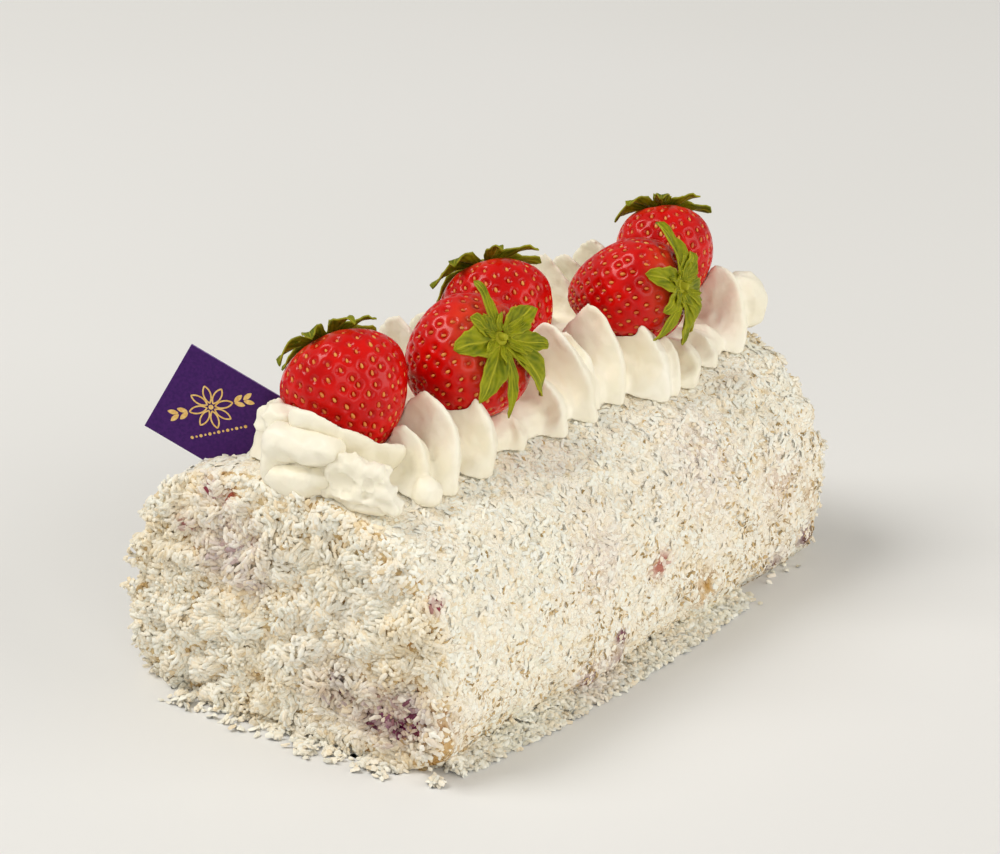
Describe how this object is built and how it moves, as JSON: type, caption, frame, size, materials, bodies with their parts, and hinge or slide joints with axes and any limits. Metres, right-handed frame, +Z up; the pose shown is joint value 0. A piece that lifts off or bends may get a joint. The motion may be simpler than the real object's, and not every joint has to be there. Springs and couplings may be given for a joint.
{
  "type": "swiss roll",
  "caption": "Whole swiss roll coated in shredded coconut, with a piped cream ruffle, strawberries and a small card on top.",
  "frame": {"origin": "middle of the roll's flat foot, on the surface it rests on", "axes": "+X runs along the roll away from the end that shows, -Y is the long side that shows, +Z is up"},
  "size_m": [0.1761, 0.107, 0.1013],
  "materials": {
    "coconut_coat": "matt, rough with shreds",
    "whipped_cream": "soft satin",
    "strawberry_flesh": "moist gloss",
    "calyx_leaf": "matt with a slight sheen",
    "printed_card": "smooth coated card with a gold foil ornament"
  },
  "bodies": {
    "root": {"roll": "coconut_coat", "cream": "whipped_cream", "strawberry_1": "strawberry_flesh", "strawberry_2": "strawberry_flesh", "strawberry_3": "strawberry_flesh", "strawberry_4": "strawberry_flesh", "strawberry_5": "strawberry_flesh", "calyx_1": "calyx_leaf", "calyx_2": "calyx_leaf", "calyx_3": "calyx_leaf", "calyx_4": "calyx_leaf", "calyx_5": "calyx_leaf", "card": "printed_card"}
  },
  "joints": []
}
